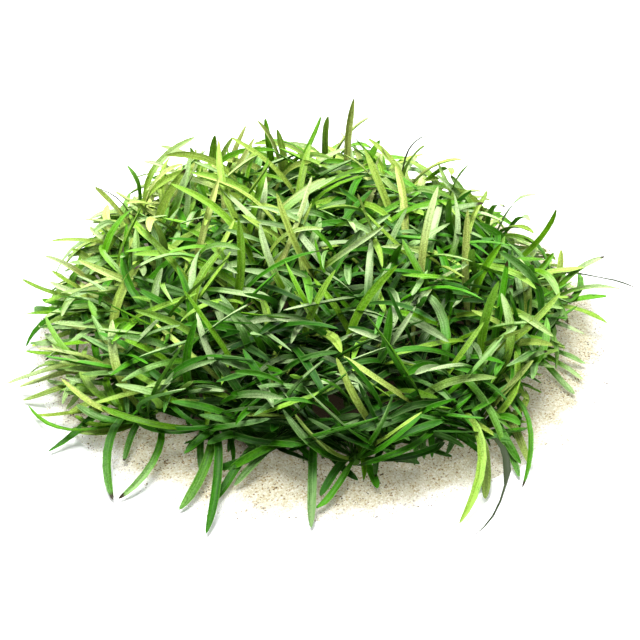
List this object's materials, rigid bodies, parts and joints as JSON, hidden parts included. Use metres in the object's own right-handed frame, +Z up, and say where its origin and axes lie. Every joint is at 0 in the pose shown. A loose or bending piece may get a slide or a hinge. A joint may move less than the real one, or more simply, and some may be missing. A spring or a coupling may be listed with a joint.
{
  "type": "dwarf cryptocoryne",
  "caption": "Low, dense mound of narrow-leaved dwarf cryptocoryne rosettes rooted in a flat-bottomed patch of pale sand.",
  "frame": {"origin": "middle of the sand patch's flat underside", "axes": "+Z up, +X along the mat's longer side, -Y the front that the picture looks at"},
  "size_m": [0.3087, 0.2854, 0.073],
  "materials": {
    "leaf": "satin",
    "sand": "rough"
  },
  "bodies": {
    "root": {"sand_bed": "sand", "rosette_01": "leaf", "rosette_02": "leaf", "rosette_03": "leaf", "rosette_04": "leaf", "rosette_05": "leaf", "rosette_06": "leaf", "rosette_07": "leaf", "rosette_08": "leaf", "rosette_09": "leaf", "rosette_10": "leaf", "rosette_11": "leaf", "rosette_12": "leaf", "rosette_13": "leaf", "rosette_14": "leaf", "rosette_15": "leaf", "rosette_16": "leaf", "rosette_17": "leaf", "rosette_18": "leaf", "rosette_19": "leaf", "rosette_20": "leaf", "rosette_21": "leaf", "rosette_22": "leaf", "rosette_23": "leaf", "rosette_24": "leaf", "rosette_25": "leaf", "rosette_26": "leaf", "rosette_27": "leaf", "rosette_28": "leaf", "rosette_29": "leaf", "rosette_30": "leaf", "rosette_31": "leaf", "rosette_32": "leaf", "rosette_33": "leaf", "rosette_34": "leaf", "rosette_35": "leaf", "rosette_36": "leaf", "rosette_37": "leaf", "rosette_38": "leaf", "rosette_39": "leaf", "rosette_40": "leaf", "rosette_41": "leaf", "rosette_42": "leaf", "rosette_43": "leaf", "rosette_44": "leaf", "rosette_45": "leaf", "rosette_46": "leaf", "rosette_47": "leaf", "rosette_48": "leaf", "rosette_49": "leaf", "rosette_50": "leaf", "rosette_51": "leaf", "rosette_52": "leaf", "rosette_53": "leaf", "rosette_54": "leaf", "rosette_55": "leaf", "rosette_56": "leaf", "rosette_57": "leaf", "rosette_58": "leaf"}
  },
  "joints": []
}
